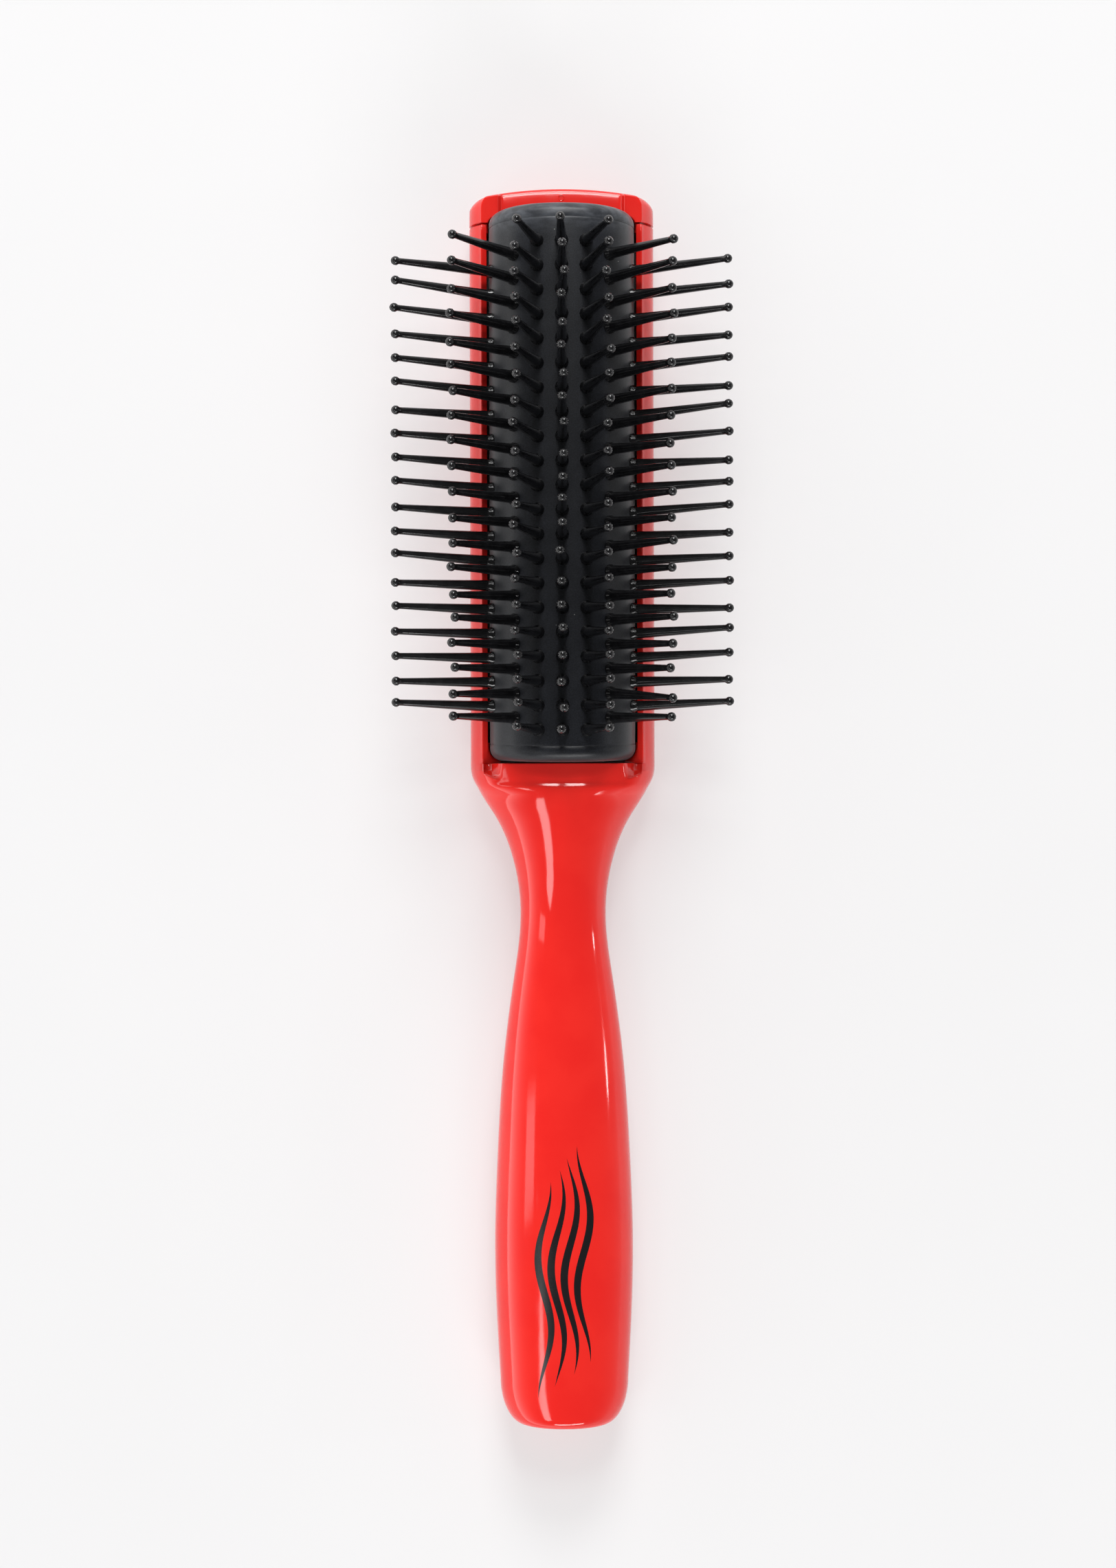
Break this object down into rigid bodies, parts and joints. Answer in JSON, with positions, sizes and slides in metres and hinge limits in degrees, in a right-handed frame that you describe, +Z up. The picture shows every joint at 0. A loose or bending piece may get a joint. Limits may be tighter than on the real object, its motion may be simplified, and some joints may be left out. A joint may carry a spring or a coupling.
{
  "type": "half-round styling hairbrush",
  "caption": "Half-round styling hairbrush: glossy red handle and channel head, removable grey rubber pad, rows of black ball-tipped pins and an end clip.",
  "frame": {"origin": "under the middle of the brush, on the plane that the head's back and the handle rest on", "axes": "+Y along the brush from the handle to the tip, +Z up through the middle row of pins, X across the rows"},
  "size_m": [0.0594, 0.22, 0.0421],
  "materials": {
    "red_plastic": "high-gloss moulded red plastic",
    "grey_rubber": "satin dark grey rubber with a fine grain",
    "black_plastic": "glossy black nylon"
  },
  "bodies": {
    "handle": {"handle_body": "red_plastic"},
    "clip": {"end_clip": "red_plastic"},
    "pad": {"rubber_pad": "grey_rubber"},
    "row_1": {"pin_row_1": "black_plastic"},
    "row_2": {"pin_row_2": "black_plastic"},
    "row_3": {"pin_row_3": "black_plastic"},
    "row_4": {"pin_row_4": "black_plastic"},
    "row_5": {"pin_row_5": "black_plastic"},
    "row_6": {"pin_row_6": "black_plastic"},
    "row_7": {"pin_row_7": "black_plastic"}
  },
  "joints": [
    {"name": "clip_pull", "type": "slide", "parent": "handle", "child": "clip", "axis": [0, 1, 0], "range_m": [0, 0.12]},
    {"name": "pad_slide", "type": "slide", "parent": "handle", "child": "pad", "axis": [0, 1, 0], "range_m": [0, 0.096]},
    {"name": "row_1_lean", "type": "hinge", "parent": "pad", "child": "row_1", "pos_m": [-0.01089, 0.05645, 0.016], "axis": [0, 1, 0], "range_deg": [-6, 6], "stiffness_Nm_per_rad": 0.06},
    {"name": "row_2_lean", "type": "hinge", "parent": "pad", "child": "row_2", "pos_m": [-0.00753, 0.05645, 0.02049], "axis": [0, 1, 0], "range_deg": [-6, 6], "stiffness_Nm_per_rad": 0.06},
    {"name": "row_3_lean", "type": "hinge", "parent": "pad", "child": "row_3", "pos_m": [-0.00402, 0.05645, 0.02202], "axis": [0, 1, 0], "range_deg": [-6, 6], "stiffness_Nm_per_rad": 0.06},
    {"name": "row_4_lean", "type": "hinge", "parent": "pad", "child": "row_4", "pos_m": [0, 0.05645, 0.02239], "axis": [0, 1, 0], "range_deg": [-6, 6], "stiffness_Nm_per_rad": 0.06},
    {"name": "row_5_lean", "type": "hinge", "parent": "pad", "child": "row_5", "pos_m": [0.00402, 0.05645, 0.02202], "axis": [0, 1, 0], "range_deg": [-6, 6], "stiffness_Nm_per_rad": 0.06},
    {"name": "row_6_lean", "type": "hinge", "parent": "pad", "child": "row_6", "pos_m": [0.00753, 0.05645, 0.02049], "axis": [0, 1, 0], "range_deg": [-6, 6], "stiffness_Nm_per_rad": 0.06},
    {"name": "row_7_lean", "type": "hinge", "parent": "pad", "child": "row_7", "pos_m": [0.01089, 0.05645, 0.016], "axis": [0, 1, 0], "range_deg": [-6, 6], "stiffness_Nm_per_rad": 0.06}
  ],
  "couplings": [
    {"joint": "pad_slide", "follows": "clip_pull", "ratio": 0.8}
  ]
}
